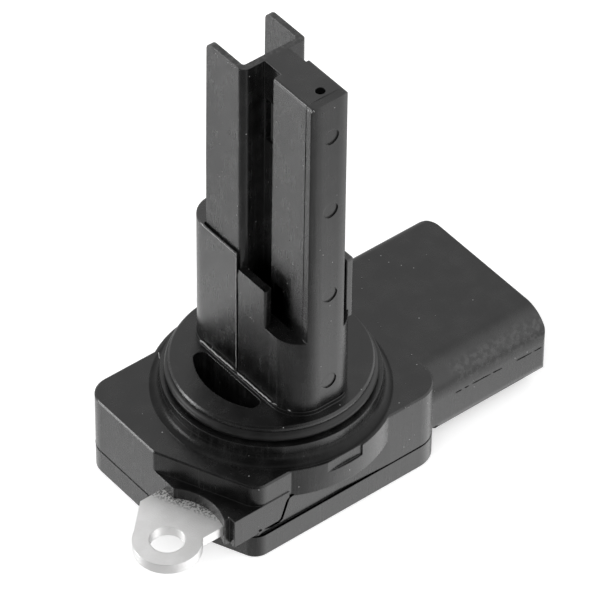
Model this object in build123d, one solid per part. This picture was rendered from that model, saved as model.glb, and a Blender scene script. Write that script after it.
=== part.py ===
from build123d import *
import math
import os

# Mass airflow sensor of the plug-in kind, standing on its back cover.
# Millimetres, +Z up along the probe, +X towards the connector.
# The origin is on the axis of the round flange, in the plane it rests on.

# Body in plan
body_back_x = -19.3          # face under the front mounting ear
body_front_x = 17.4          # face that carries the connector
body_half_width = 13.9
body_corner_back = 3.2
body_corner_front = 4.0
slant_start_y = -0.5         # slanted corner above and below the front ear
slant_end_x = -13.3
slant_corner_blend = 0.8
slant_end_radius = 2.3

# Body in height
cover_top = 3.87
ear_block_bottom = 4.8
ear_block_top = 9.2
body_top = 12.5
body_edge_bevel = 0.2

# Corner block round the front ear
ear_block_notch_x = -16.95   # upright notch where the block meets the ear
ear_block_notch_depth = 0.9
ear_block_proud = 0.12       # how far it stands out of the side face
ear_block_end_x = -8.2
ear_relief_radius = 7.3

# Step on the side face, beside the corner block
side_step_depth = 0.25
side_step_foot_x = -9.5
side_step_head_x = -8.35
side_step_fade_x = 0.0
side_step_end_x = 8.3
side_step_past = 1.2         # how far the step runs on under the corner
side_step_corner = 0.8
side_step_end_corner = 0.5
side_step_groove = 0.2       # dark line along the step's upright edge
side_step_groove_depth = 0.4
side_step_groove_end_x = -6.6

# Rounded bulges that stand out of both long sides
bulge_radius = 15.95
bulge_bottom = 8.1
bulge_pad_depth = 0.35
bulge_pad_from_x = -3.4
bulge_pad_to_x = 2.1
bulge_pad_bottom = 10.8

# Round flange and the groove of its seal
flange_top = 17.5
flange_lip_radius = 13.15
flange_lip_chamfer = 0.25
flange_shoulder_radius = 14.2
flange_root_fillet = 1.4
flange_root_flats = 5
seal_section = 1.64
seal_outer_radius = 13.65
seal_groove_width = 1.7
seal_groove_bottom = 15.15
seal_clearance = 0.02
seal_flats = 12

# Kidney shaped pocket in the flange
pocket_edge_x = -6.2
pocket_outer_radius = 9.95
pocket_half_length = 6.1
pocket_corner = 0.9
pocket_floor = 9.0

# Neck, the lower part of the probe
neck_left_x = -5.55
neck_right_x = 4.95
neck_front_y = -11.5
neck_rear_y = 10.8
neck_front_left_corner = 4.2
neck_front_right_corner = 3.7
neck_rear_corner = 3.9
neck_top = 29.6
neck_spigot_depth = 2.5
neck_spigot_inset = 1.0
neck_rim_height = 0.6
neck_rim_width = 0.2
neck_core_wall = 1.4
neck_core_front_y = -4.2
neck_core_rear_y = 5.4
fit_gap = 0.05
seam_gap = 0.2               # open seams that show as dark lines

# Sleeve that closes the rear of the neck
sleeve_wall = 1.2
sleeve_rise = 8.4            # its top above the top of the neck
sleeve_top = neck_top + sleeve_rise
sleeve_split_y = 0.1
sleeve_right_x = 5.55
sleeve_wing_y = -9.3
sleeve_wing_drop = 1.2       # its foot below the top of the neck
sleeve_wing_round = 0.4
sleeve_wing_inner_round = 0.2
sleeve_head_height = 5.0
sleeve_socket_depth = 3.0
sleeve_edge_bevel = 0.15

# Post that carries the closed air passage
probe_top = 68.1
post_left_top = -2.9
post_left_foot = -3.15
post_right_top = 2.75
post_right_foot = 2.42
post_back_y = -3.7
post_split_y = -10.0
post_front_top_y = -11.2
post_wall = 1.2
post_head = 1.5
post_edge_round = 0.4
post_port_rise = 5.6          # top of the port above the neck
post_port_front_y = -6.0
post_port_depth = 4.2
post_port_rear_wall = 0.5
post_port_sill = 0.6
vent_hole_radius = 0.65
vent_hole_x = 0.1
vent_hole_y = -8.9

# Ejector marks on the front plate
ejector_mark_radius = 1.1
ejector_mark_depth = 0.12
ejector_mark_heights = (21.8, 36.5, 50.5, 62.4)

# Small guard beside the port
guard_wall = 1.15
guard_front_y = -5.6
guard_top = 35.7
guard_root = 0.2
guard_corner = 0.3

# Web between post and channel, with the sensing window through it
web_left_x = -1.7
web_right_x = 2.1
web_root = 0.1
window_bottom = 55.6
window_top = 62.2
window_front_y = -2.5
window_rear_y = -0.6

# Open channel that shields the air temperature sensor
channel_left_x = -5.05
channel_right_x = 4.8
channel_wall = 0.8
channel_front_y = -0.5
channel_floor_wall = 0.92
channel_rear_top_y = 6.6
channel_rear_foot_y = 7.0
channel_near_corner = 1.0
channel_far_corner = 0.7
channel_inner_corner = 0.4
channel_edge_round = 0.25
channel_head_round = 1.1

# Connector shroud
shroud_end_x = 35.65
shroud_root_x = 17.6
shroud_half_width = 12.35
shroud_bottom = 2.2
shroud_near_edge = 4.2
shroud_far_edge = 1.3
shroud_low_edge = 2.1
shroud_near_corner = 0.6
shroud_far_corner = 2.8
socket_least_corner = 0.4
shroud_wall = 1.3
socket_floor_x = 19.6
latch_from_x = 24.5
latch_to_x = 30.0
latch_half_width = 3.2
latch_height = 1.2

# Metal plate with two ears
plate_bottom = 6.0
plate_thickness = 1.5
plate_back_x = -15.6
plate_front_x = 11.4
plate_half_width = 12.2
plate_corner = 2.0
ear_hole_radius = 2.25
ear_end_radius = 4.45
ear_hole_x = -24.37
ear_hole_y = -9.84
ear_root_x = -17.5
ear_side_y = -2.4
ear_side_x = -22.9
ear_side_lean = 35.0         # degrees
ear_neck_x = 3.67
ear_neck_drop = 0.95
ear_neck_y = -12.4
rear_ear_hole_x = 12.4
rear_ear_hole_y = 19.0
rear_ear_root_half = 4.45
rear_ear_overlap = 2.8
plate_lead_slot_wall = 1.2
plate_wire_hole_gap = 1.0
ear_neck_share = 0.75        # where along the neck of the ear its side turns

# Tray for the circuit, closed by the back cover
tray_wall = 2.6
tray_front_x = 14.4
cover_floor = 1.4
cover_edge_bevel = 0.2
cover_relief = 0.25
bead_inset = 0.75
bead_width = 1.1
bead_height = 0.5
tongue_height = 0.4

# Circuit
board_thickness = 0.8
board_back_x = -12.5
board_front_x = 9.0
board_half_width = 8.9
board_hole_gap = 0.15
chip_size = 6.0
chip_height = 1.0
chip_x = -7.0
capacitor_length = 2.0
capacitor_width = 1.25
capacitor_height = 0.9
capacitor_rows_x = (-10.6, -2.6, 4.6)
capacitor_row_y = 6.4

# Connector terminals
terminal_count = 5
terminal_pitch = 4.0
terminal_width = 1.5
terminal_thickness = 0.64
terminal_tip_x = 31.0
terminal_bend_x = 13.0
terminal_foot_x = 7.6
terminal_height = 7.4

# Leads, carrier and chip of the hot film sensor
lead_count = 4
lead_pitch = 0.7
lead_width = 0.4
lead_thickness = 0.4
lead_x = 0.2
lead_y = -1.45
lead_stickout = 0.4
carrier_bottom = 53.0
carrier_width = 3.0
carrier_head_gap = 0.3
film_chip_width = 2.0
film_chip_height = 2.4
film_chip_thickness = 0.25
film_chip_rise = 0.5         # above the middle of the window

# Air temperature sensor in the open channel
bead_radius = 0.9
bead_half_length = 1.3
bead_end_bevel = 0.35
bead_z = 43.6
wire_radius = 0.25
wire_spacing = 3.8
wire_y = 3.4
wire_bend = 0.45
wire_sides = 8

# Modelling allowances
cut_past = 1.0               # how far a cut starts outside its piece
nearly_sharp = 0.01          # radius of corners that stay sharp


def slab(face, bottom, top):
    """Upright solid of a plan outline between two heights."""
    return Pos(0, 0, bottom) * extrude(face, top - bottom)


def block(x0, x1, y0, y1, z0, z1):
    """Straight-sided solid between two corners."""
    return Pos((x0 + x1) / 2, (y0 + y1) / 2, (z0 + z1) / 2) * Box(x1 - x0, y1 - y0, z1 - z0)


def rounded(points, radii):
    """Closed flat outline with its own radius at each corner."""
    return make_face(FilletPolyline(*points, radius=radii, close=True))


def along_x(face_yz, x0, x1):
    """Solid of an outline given in Y and Z, drawn out along X."""
    plane = Plane(origin=(x0, 0, 0), x_dir=(0, 1, 0), z_dir=(1, 0, 0))
    return extrude(plane * face_yz, x1 - x0, dir=(1, 0, 0))


def along_y(face_xz, y0, y1):
    """Solid of an outline given in X and Z, drawn out along Y."""
    plane = Plane(origin=(0, y0, 0), x_dir=(1, 0, 0), z_dir=(0, -1, 0))
    return extrude(plane * face_xz, y1 - y0, dir=(0, 1, 0))


def body_outline():
    """Body and cover in plan, with the slanted corner over the front ear."""
    points = [(body_back_x, body_half_width), (body_back_x, slant_start_y),
              (slant_end_x, -body_half_width), (body_front_x, -body_half_width),
              (body_front_x, body_half_width)]
    radii = [body_corner_back, slant_corner_blend, slant_end_radius,
             body_corner_front, body_corner_front]
    return rounded(points, radii)


def ear_block():
    """Lower step of the corner, hollowed round the head of the ear's screw."""
    step = block(body_back_x, ear_block_end_x, -body_half_width - ear_block_proud,
                 slant_start_y + slant_corner_blend, ear_block_bottom, ear_block_top)
    relief = Pos(ear_hole_x, ear_hole_y, 0) * Cylinder(ear_relief_radius, 3 * body_top)
    notch = block(body_back_x, ear_block_notch_x, -body_half_width - cut_past,
                  -body_half_width + ear_block_notch_depth, 0, body_top)
    return step - relief - notch


def side_step():
    """Shallow step of the long side face that fades out towards the connector."""
    start_x, low = slant_end_x - side_step_past, cover_top - cut_past
    outside, inside = -body_half_width - cut_past, -body_half_width + side_step_depth
    points = [(start_x, low), (start_x, ear_block_bottom),
              (side_step_foot_x, ear_block_bottom), (side_step_head_x, bulge_bottom),
              (side_step_end_x, bulge_bottom), (side_step_end_x, low)]
    radii = [nearly_sharp, nearly_sharp, side_step_corner, side_step_corner,
             side_step_end_corner, nearly_sharp]
    face = rounded(points, radii)
    wedge = [(start_x, outside), (side_step_end_x, outside), (side_step_end_x, -body_half_width),
             (side_step_fade_x, inside), (start_x, inside)]
    step = along_y(face, outside, inside) & slab(make_face(Polyline(*wedge, close=True)), 0, body_top)
    rim = offset(face, amount=side_step_groove) - face
    line = along_y(rim, outside, -body_half_width + side_step_groove_depth)
    return step + (line & block(slant_end_x, side_step_groove_end_x, outside, 0, cover_top, body_top))


def bulges():
    """Round body part under the flange, with a flat pad on each side."""
    drum = Pos(0, 0, (bulge_bottom + body_top) / 2) * Cylinder(bulge_radius, body_top - bulge_bottom)
    for side in (-1, 1):
        outer = side * (bulge_radius + cut_past)
        inner = side * (bulge_radius - bulge_pad_depth)
        drum -= block(bulge_pad_from_x, bulge_pad_to_x, min(outer, inner), max(outer, inner),
                      bulge_pad_bottom, body_top + cut_past)
    return drum


def flange():
    """Turned form of the flange, its seal groove and the fillet at its root, cut to short flats."""
    groove_top = seal_groove_bottom + seal_groove_width
    groove_radius = seal_outer_radius - seal_section - seal_clearance
    root = flange_shoulder_radius + flange_root_fillet
    turns = [math.pi / 2 * i / flange_root_flats for i in range(flange_root_flats + 1)]
    fillet_points = [(root - flange_root_fillet * math.sin(turn),
                      body_top + flange_root_fillet * (1 - math.cos(turn))) for turn in turns]
    section = Polyline((0, body_top - cut_past), (root, body_top - cut_past), *fillet_points,
                       (flange_shoulder_radius, seal_groove_bottom),
                       (groove_radius, seal_groove_bottom), (groove_radius, groove_top),
                       (flange_lip_radius, groove_top), (flange_lip_radius, flange_top - flange_lip_chamfer),
                       (flange_lip_radius - flange_lip_chamfer, flange_top), (0, flange_top), close=True)
    return revolve(Plane.XZ * make_face(section), axis=Axis.Z)


def flange_pocket():
    """Kidney shaped pocket between the neck and the rim."""
    reach = math.sqrt(pocket_outer_radius ** 2 - pocket_half_length ** 2)
    sides = Polyline((-reach, pocket_half_length), (pocket_edge_x, pocket_half_length),
                     (pocket_edge_x, -pocket_half_length), (-reach, -pocket_half_length))
    arc = ThreePointArc((-reach, -pocket_half_length), (-pocket_outer_radius, 0),
                        (-reach, pocket_half_length))
    face = make_face(Curve() + [sides, arc])
    return slab(fillet(face.vertices(), pocket_corner), pocket_floor, flange_top + cut_past)


def shroud_section(inset):
    """Connector section in Y and Z, the same form for its outside and its socket."""
    near, far = -shroud_half_width + inset, shroud_half_width - inset
    low, high = shroud_bottom + inset, body_top - inset
    radii = [max(edge - inset, socket_least_corner) for edge in
             (shroud_near_edge, shroud_low_edge, shroud_low_edge, shroud_far_edge)]
    return rounded([(near, high), (near, low), (far, low), (far, high)], radii)


def connector_shroud():
    """Outside of the connector, with the ramp that a plug latches on."""
    plan = rounded([(shroud_root_x, -shroud_half_width), (shroud_end_x, -shroud_half_width),
                    (shroud_end_x, shroud_half_width), (shroud_root_x, shroud_half_width)],
                   [nearly_sharp, shroud_near_corner, shroud_far_corner, nearly_sharp])
    shell = along_x(shroud_section(0), shroud_root_x, shroud_end_x) & slab(plan, 0, 2 * body_top)
    root = along_x(shroud_section(0), tray_front_x, shroud_root_x)
    root &= block(tray_front_x, shroud_root_x, -shroud_half_width, shroud_half_width,
                  cover_top, body_top)
    ramp = Polyline((latch_from_x, shroud_bottom), (latch_from_x, shroud_bottom - latch_height),
                    (latch_from_x + latch_height, shroud_bottom - latch_height),
                    (latch_to_x, shroud_bottom), close=True)
    return shell + root + along_y(make_face(ramp), -latch_half_width, latch_half_width)


def neck_outline(inset=0.0, right_x=neck_right_x):
    """Probe neck in plan: a rounded front and a rounder rear."""
    left, right = neck_left_x + inset, right_x - inset
    front, rear = neck_front_y + inset, neck_rear_y - inset
    return rounded([(left, rear), (left, front), (right, front), (right, rear)],
                   [neck_rear_corner - inset, neck_front_left_corner - inset,
                    neck_front_right_corner - inset, neck_rear_corner - inset])


def sleeve_outline(inset=0.0):
    """The same outline where the sleeve covers it, a little wider at the right."""
    return neck_outline(inset, right_x=sleeve_right_x)


def front_ear():
    """Ear that shows in front: straight sides that run into a round end."""
    tip = Pos(ear_hole_x, ear_hole_y) * Circle(ear_end_radius)
    lean = math.radians(ear_side_lean)
    bend_x = ear_hole_x - ear_end_radius * math.cos(lean)
    bend_y = ear_hole_y + ear_end_radius * math.sin(lean)
    root = plate_back_x + plate_corner
    points = [(root, ear_side_y), (ear_side_x, ear_side_y), (bend_x, bend_y),
              (ear_hole_x, ear_hole_y - ear_end_radius),
              (ear_hole_x + ear_neck_x * ear_neck_share, ear_neck_y - ear_neck_drop),
              (ear_hole_x + ear_neck_x, ear_neck_y), (ear_root_x, ear_neck_y),
              (root, -plate_half_width + plate_corner)]
    return make_face(Polyline(*points, close=True)) + tip


def rear_ear():
    """Ear on the far long side, hidden behind the probe."""
    tip = Pos(rear_ear_hole_x, rear_ear_hole_y) * Circle(ear_end_radius)
    half = rear_ear_root_half
    inner_y = plate_half_width - rear_ear_overlap
    arm = Pos(rear_ear_hole_x, (rear_ear_hole_y + inner_y) / 2) * Rectangle(2 * half, rear_ear_hole_y - inner_y)
    return arm + tip


def lead_places():
    """X of each lead of the film sensor."""
    first = lead_x - lead_pitch * (lead_count - 1) / 2
    return [first + lead_pitch * i for i in range(lead_count)]


def lead_slot(margin):
    """Clear slot round all the leads, as wide as they are and a margin more."""
    places = lead_places()
    return (places[0] - lead_width / 2 - margin, places[-1] + lead_width / 2 + margin,
            lead_y - lead_thickness / 2 - margin, lead_y + lead_thickness / 2 + margin)


def mounting_plate():
    """Stamped plate with both ears, moulded into the housing."""
    main = rounded([(plate_back_x, plate_half_width), (plate_back_x, -plate_half_width),
                    (plate_front_x, -plate_half_width), (plate_front_x, plate_half_width)],
                   [plate_corner] * 4)
    outline = main + front_ear() + rear_ear()
    for x, y in ((ear_hole_x, ear_hole_y), (rear_ear_hole_x, rear_ear_hole_y)):
        outline -= Pos(x, y) * Circle(ear_hole_radius)
    plate = slab(outline, plate_bottom, plate_bottom + plate_thickness)
    x0, x1, y0, y1 = lead_slot(plate_lead_slot_wall)
    plate -= block(x0, x1, y0, y1, 0, body_top)
    for side in (-1, 1):
        hole = Cylinder(wire_radius + plate_wire_hole_gap, 2 * body_top)
        plate -= Pos(side * wire_spacing / 2, wire_y, 0) * hole
    return plate


def sensing_lead(x):
    """One flat lead from the circuit up through neck and web to the carrier."""
    low = plate_bottom - board_thickness - lead_stickout
    return block(x - lead_width / 2, x + lead_width / 2, lead_y - lead_thickness / 2,
                 lead_y + lead_thickness / 2, low, carrier_bottom)


def sensing_carrier():
    """Blade that stands in the window with air on both its faces."""
    return block(lead_x - carrier_width / 2, lead_x + carrier_width / 2,
                 lead_y - lead_thickness / 2, lead_y + lead_thickness / 2,
                 carrier_bottom, window_top - carrier_head_gap)


def sensing_chip():
    """Hot film chip on the front face of the blade."""
    front = lead_y - lead_thickness / 2
    middle = (window_bottom + window_top) / 2 + film_chip_rise
    return block(lead_x - film_chip_width / 2, lead_x + film_chip_width / 2,
                 front - film_chip_thickness, front,
                 middle - film_chip_height / 2, middle + film_chip_height / 2)


def thermistor_lead(side):
    """Round wire from the circuit up into the channel, bent in to the bead."""
    low = plate_bottom - board_thickness - lead_stickout
    x = side * wire_spacing / 2
    path = FilletPolyline((x, wire_y, low), (x, wire_y, bead_z),
                          (side * bead_half_length, wire_y, bead_z), radius=wire_bend)
    section = Plane(origin=(x, wire_y, low), z_dir=(0, 0, 1)) * RegularPolygon(wire_radius, wire_sides)
    return sweep(section, path=path)


def thermistor_bead():
    """Glass bead that lies across between its two wires."""
    bead = Pos(0, wire_y, bead_z) * Rot(0, 90, 0) * Cylinder(bead_radius, 2 * bead_half_length)
    return chamfer(bead.edges().filter_by(GeomType.CIRCLE), bead_end_bevel)


def terminal(y):
    """One blade: pin in the socket, drop behind the wall, foot on the circuit."""
    half = terminal_thickness / 2
    foot_z = plate_bottom - board_thickness - half
    z1, z0 = terminal_height, foot_z
    side = [(terminal_tip_x, z1 - half), (terminal_bend_x + half, z1 - half),
            (terminal_bend_x + half, z0 - half), (terminal_foot_x, z0 - half),
            (terminal_foot_x, z0 + half), (terminal_bend_x - half, z0 + half),
            (terminal_bend_x - half, z1 + half), (terminal_tip_x, z1 + half)]
    blade = along_y(make_face(Polyline(*side, close=True)), y - terminal_width / 2, y + terminal_width / 2)
    return chamfer(blade.faces().sort_by(Axis.X)[-1].edges(), terminal_thickness / 4)


def terminal_places():
    """Y of each connector terminal."""
    return [terminal_pitch * (i - (terminal_count - 1) / 2) for i in range(terminal_count)]


def circuit_board():
    """Ceramic board glued to the underside of the metal plate."""
    board = block(board_back_x, board_front_x, -board_half_width, board_half_width,
                  plate_bottom - board_thickness, plate_bottom)
    x0, x1, y0, y1 = lead_slot(board_hole_gap)
    board -= block(x0, x1, y0, y1, 0, body_top)
    for side in (-1, 1):
        board -= Pos(side * wire_spacing / 2, wire_y, 0) * Cylinder(wire_radius + board_hole_gap, 2 * body_top)
    return board


def control_chip():
    """Square package under the board."""
    top = plate_bottom - board_thickness
    chip = block(chip_x - chip_size / 2, chip_x + chip_size / 2, -chip_size / 2, chip_size / 2,
                 top - chip_height, top)
    return chamfer(chip.faces().sort_by(Axis.Z)[0].edges(), chip_height / 4)


def chip_capacitors():
    """Small capacitors in two rows under the board."""
    top = plate_bottom - board_thickness
    rows = [block(x - capacitor_length / 2, x + capacitor_length / 2,
                  side * capacitor_row_y - capacitor_width / 2, side * capacitor_row_y + capacitor_width / 2,
                  top - capacitor_height, top) for x in capacitor_rows_x for side in (-1, 1)]
    return Compound(children=rows)


def tray_outline():
    """Inside of the circuit tray, which the cover's own hollow repeats."""
    inner = offset(body_outline(), amount=-tray_wall, kind=Kind.INTERSECTION)
    limit = Pos((body_back_x + tray_front_x) / 2, 0) * Rectangle(tray_front_x - body_back_x,
                                                                2 * body_half_width)
    return inner & limit


def bead_ring(extra=0.0):
    """Path of the sealing bead in plan, between body edge and tray."""
    outer = offset(body_outline(), amount=-bead_inset + extra)
    inner = offset(body_outline(), amount=-bead_inset - bead_width - extra)
    return outer - inner


def cover_seal():
    """Bead of sealant pressed into the groove of the housing by the cover."""
    return slab(bead_ring(), cover_top + tongue_height, cover_top + tongue_height + bead_height)


def back_cover():
    """Shallow cover that the sensor rests on, with a tongue for the sealant."""
    shell = slab(body_outline(), 0, cover_top)
    shell = chamfer(shell.faces().sort_by(Axis.Z)[0].edges(), cover_edge_bevel)
    shell -= slab(tray_outline(), cover_floor, cover_top + cut_past)
    rim = slab(body_outline(), cover_top - cover_relief, cover_top)
    rim -= slab(offset(body_outline(), amount=-cover_relief), 0, cover_top + cut_past)
    return shell - rim + slab(bead_ring(), cover_top, cover_top + tongue_height)


def o_ring():
    """Rubber ring in the groove of the flange, its round section cut to short flats."""
    section = seal_section / 2
    height = seal_groove_bottom + seal_groove_width / 2
    place = Pos(seal_outer_radius - section, height)
    return revolve(Plane.XZ * (place * RegularPolygon(section, seal_flats)), axis=Axis.Z)


def channel_section(grow=0.0):
    """Open channel in plan: two fins and the wall between them."""
    left, right = channel_left_x - grow, channel_right_x + grow
    front = channel_front_y - grow
    rear = channel_rear_foot_y + grow
    thick = channel_wall + 2 * grow
    floor_y = channel_front_y + channel_floor_wall + grow
    points = [(left, front), (right, front), (right, rear), (right - thick, rear),
              (right - thick, floor_y), (left + thick, floor_y), (left + thick, rear), (left, rear)]
    tip = channel_edge_round
    return rounded(points, [channel_near_corner, channel_far_corner, tip, tip,
                            channel_inner_corner, channel_inner_corner, tip, tip])


def channel_profile():
    """Fins seen from the side: a slight taper and rounded rear top corners."""
    front, foot = channel_front_y - cut_past, sleeve_top - sleeve_socket_depth
    side = rounded([(front, foot), (channel_rear_foot_y, foot), (channel_rear_top_y, probe_top),
                    (front, probe_top)], [nearly_sharp, nearly_sharp, channel_head_round, nearly_sharp])
    return along_x(side, channel_left_x - cut_past, channel_right_x + cut_past)


def post_face():
    """Post in X and Z with its draft and the rounded edges of its head."""
    points = [(post_left_foot, neck_top), (post_right_foot, neck_top),
              (post_right_top, probe_top), (post_left_top, probe_top)]
    return rounded(points, [nearly_sharp, nearly_sharp, post_edge_round, post_edge_round])


def duct_guard():
    """Low wall that stands beside the port of the post."""
    face = rounded([(neck_left_x, channel_front_y + guard_root), (neck_left_x, guard_front_y),
                    (neck_left_x + guard_wall, guard_front_y),
                    (neck_left_x + guard_wall, channel_front_y + guard_root)],
                   [nearly_sharp, guard_corner, guard_corner, nearly_sharp])
    return slab(face, neck_top, guard_top)


def bypass_duct():
    """Post with its inner passage, web with the window, open channel and guard."""
    post = along_y(post_face(), post_split_y, post_back_y)
    web = block(web_left_x, web_right_x, post_back_y - web_root, channel_front_y + web_root,
                neck_top, probe_top)
    channel = slab(channel_section(), sleeve_top - sleeve_socket_depth, probe_top) & channel_profile()
    foot = block(neck_left_x, neck_right_x - sleeve_wall, channel_front_y,
                 sleeve_split_y - seam_gap, neck_top, sleeve_top - sleeve_socket_depth)
    duct = post + web + channel + foot + duct_guard()
    duct -= block(post_left_top + post_wall, post_right_foot - post_wall, post_split_y - cut_past,
                  post_back_y - post_wall, neck_top + post_wall, probe_top - post_head)
    duct -= block(post_left_foot - cut_past, post_left_foot + post_port_depth, post_port_front_y,
                  post_back_y - post_port_rear_wall, neck_top + post_port_sill, neck_top + post_port_rise)
    duct -= Pos(vent_hole_x, vent_hole_y, probe_top) * Cylinder(vent_hole_radius, 2 * (post_head + cut_past))
    duct -= block(web_left_x - cut_past, web_right_x + cut_past, window_front_y, window_rear_y,
                  window_bottom, window_top)
    for x in lead_places():
        duct -= sensing_lead(x)
    return duct - sensing_carrier()


def duct_sleeve():
    """Rear cover of the neck: a thin shell, a head that holds the channel, a wing."""
    head_bottom = sleeve_top - sleeve_head_height
    behind = (neck_rear_y + cut_past + sleeve_split_y) / 2
    rear = Pos(0, behind) * Rectangle(4 * sleeve_right_x, neck_rear_y + cut_past - sleeve_split_y)
    shell = slab((sleeve_outline() - sleeve_outline(sleeve_wall)) & rear, flange_top, head_bottom)
    head = slab(sleeve_outline() & rear, head_bottom, sleeve_top)
    wing_face = rounded([(sleeve_right_x - sleeve_wall, sleeve_split_y + web_root),
                         (sleeve_right_x - sleeve_wall, sleeve_wing_y),
                         (sleeve_right_x, sleeve_wing_y), (sleeve_right_x, sleeve_split_y + web_root)],
                        [nearly_sharp, sleeve_wing_inner_round, sleeve_wing_round, nearly_sharp])
    wing = slab(wing_face, neck_top - sleeve_wing_drop, sleeve_top)
    wing -= slab(neck_outline(-fit_gap), 0, neck_top + fit_gap)
    sleeve = shell + head + wing
    sleeve = chamfer(sleeve.faces().sort_by(Axis.Z)[-1].edges(), sleeve_edge_bevel)
    sleeve -= slab(channel_section(seam_gap), sleeve_top - sleeve_socket_depth, probe_top)
    for side in (-1, 1):
        sleeve -= thermistor_lead(side)
    return sleeve


def front_lean():
    """How far the probe's front moves back for each millimetre of height."""
    return (post_front_top_y - neck_front_y) / (probe_top - flange_top)


def leaning_outline():
    """The neck's rounded outline drawn up along the lean of the probe's front, past its top."""
    foot = Pos(0, 0, flange_top) * neck_outline()
    return extrude(foot, probe_top, dir=(0, front_lean(), 1))


def probe_neck():
    """Front half of the neck with the long plate that closes the post."""
    ahead = Pos(0, sleeve_split_y - seam_gap - neck_rear_y) * Rectangle(4 * sleeve_right_x, 2 * neck_rear_y)
    solid = slab(neck_outline() & ahead, flange_top, neck_top)
    core = slab(neck_outline(sleeve_wall + fit_gap), flange_top, neck_top)
    spigot = slab(neck_outline(neck_spigot_inset + fit_gap), flange_top - neck_spigot_depth, flange_top)
    neck = (solid + core) & leaning_outline()
    plate = along_y(post_face(), neck_front_y - cut_past, post_split_y)
    neck = neck + (plate & leaning_outline()) + spigot
    left, right = neck_left_x + sleeve_wall + neck_core_wall, neck_right_x - sleeve_wall - neck_core_wall
    for y0, y1 in ((neck_front_y + 2 * neck_core_wall, neck_core_front_y),
                   (neck_core_rear_y, neck_rear_y - sleeve_wall - neck_core_wall)):
        neck -= block(left, right, y0, y1, 0, neck_top - neck_core_wall)
    for z in ejector_mark_heights:
        face_y = neck_front_y + front_lean() * (z - flange_top)
        mark = Rot(90, 0, 0) * Cylinder(ejector_mark_radius, 2 * cut_past)
        neck -= Pos(0, face_y + ejector_mark_depth - cut_past, z) * mark
    for x in lead_places():
        neck -= sensing_lead(x)
    for side in (-1, 1):
        neck -= thermistor_lead(side)
    return neck


def sensor_housing():
    """The main moulding: body, flange, socket for the probe and connector."""
    body = slab(body_outline(), cover_top, body_top)
    body = chamfer(body.faces().sort_by(Axis.Z)[-1].edges(), body_edge_bevel)
    body = body + ear_block() - side_step() + bulges() + connector_shroud() + flange()
    body += slab(neck_outline(-neck_rim_width), flange_top - cut_past, flange_top + neck_rim_height)
    body -= slab(neck_outline() + sleeve_outline(), flange_top, flange_top + neck_rim_height + cut_past)
    body -= slab(neck_outline(neck_spigot_inset), flange_top - neck_spigot_depth, flange_top + cut_past)
    body -= flange_pocket()
    body -= slab(tray_outline(), cover_top - cut_past, plate_bottom)
    body -= slab(bead_ring(), cover_top - cut_past, cover_top + tongue_height + bead_height)
    body -= along_x(shroud_section(shroud_wall), socket_floor_x, shroud_end_x + cut_past)
    body -= mounting_plate()
    for y in terminal_places():
        body -= terminal(y)
    for x in lead_places():
        body -= sensing_lead(x)
    for side in (-1, 1):
        body -= thermistor_lead(side)
    return body


def write_parts():
    """Write one file for each physical piece."""
    os.makedirs("parts", exist_ok=True)
    pieces = {
        "sensor_housing": sensor_housing(),
        "back_cover": back_cover(),
        "cover_seal": cover_seal(),
        "o_ring": o_ring(),
        "mounting_plate": mounting_plate(),
        "probe_neck": probe_neck(),
        "duct_sleeve": duct_sleeve(),
        "bypass_duct": bypass_duct(),
        "circuit_board": circuit_board(),
        "control_chip": control_chip(),
        "chip_capacitors": chip_capacitors(),
        "sensing_carrier": sensing_carrier(),
        "sensing_chip": sensing_chip(),
        "thermistor_bead": thermistor_bead(),
        "thermistor_lead_left": thermistor_lead(-1),
        "thermistor_lead_right": thermistor_lead(1),
    }
    for i, y in enumerate(terminal_places()):
        pieces[f"terminal_{i + 1}"] = terminal(y)
    for i, x in enumerate(lead_places()):
        pieces[f"sensing_lead_{i + 1}"] = sensing_lead(x)
    for name, piece in pieces.items():
        export_step(piece, f"parts/{name}.step")


write_parts()
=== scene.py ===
"""Looks of a plug-in mass airflow sensor: its finishes, fine pieces, floor, light and camera."""

import math
import random

import bmesh
import bpy
from mathutils import Matrix, Vector


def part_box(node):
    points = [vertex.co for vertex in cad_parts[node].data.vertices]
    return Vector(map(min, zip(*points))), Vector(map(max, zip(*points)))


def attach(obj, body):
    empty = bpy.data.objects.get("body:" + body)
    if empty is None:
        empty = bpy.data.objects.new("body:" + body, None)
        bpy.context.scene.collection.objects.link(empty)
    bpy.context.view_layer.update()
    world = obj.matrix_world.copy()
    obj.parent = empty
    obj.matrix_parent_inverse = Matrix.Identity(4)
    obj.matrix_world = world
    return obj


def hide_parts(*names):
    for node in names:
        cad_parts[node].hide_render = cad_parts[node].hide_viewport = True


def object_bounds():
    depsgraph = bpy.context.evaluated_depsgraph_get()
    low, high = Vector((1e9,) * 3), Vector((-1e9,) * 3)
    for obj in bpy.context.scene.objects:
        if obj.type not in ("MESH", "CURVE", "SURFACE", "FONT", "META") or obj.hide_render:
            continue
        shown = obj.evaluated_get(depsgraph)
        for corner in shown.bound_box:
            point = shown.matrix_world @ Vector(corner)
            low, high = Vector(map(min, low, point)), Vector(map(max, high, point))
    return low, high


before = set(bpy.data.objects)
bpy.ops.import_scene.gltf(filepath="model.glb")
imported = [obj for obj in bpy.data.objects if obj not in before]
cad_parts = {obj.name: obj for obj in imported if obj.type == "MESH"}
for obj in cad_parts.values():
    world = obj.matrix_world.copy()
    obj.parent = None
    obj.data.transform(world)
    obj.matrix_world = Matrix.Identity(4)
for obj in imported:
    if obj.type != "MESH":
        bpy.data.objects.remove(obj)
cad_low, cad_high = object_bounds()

bl_info = {
    "name": "Mass Airflow Sensor Looks",
    "version": (1, 0, 0),
    "blender": (4, 5, 0),
    "location": "3D View > Sidebar > Airflow Sensor",
    "description": "Dresses the packed sensor with its finishes and fine pieces, and sets up a plain studio",
    "category": "Object",
}

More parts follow.
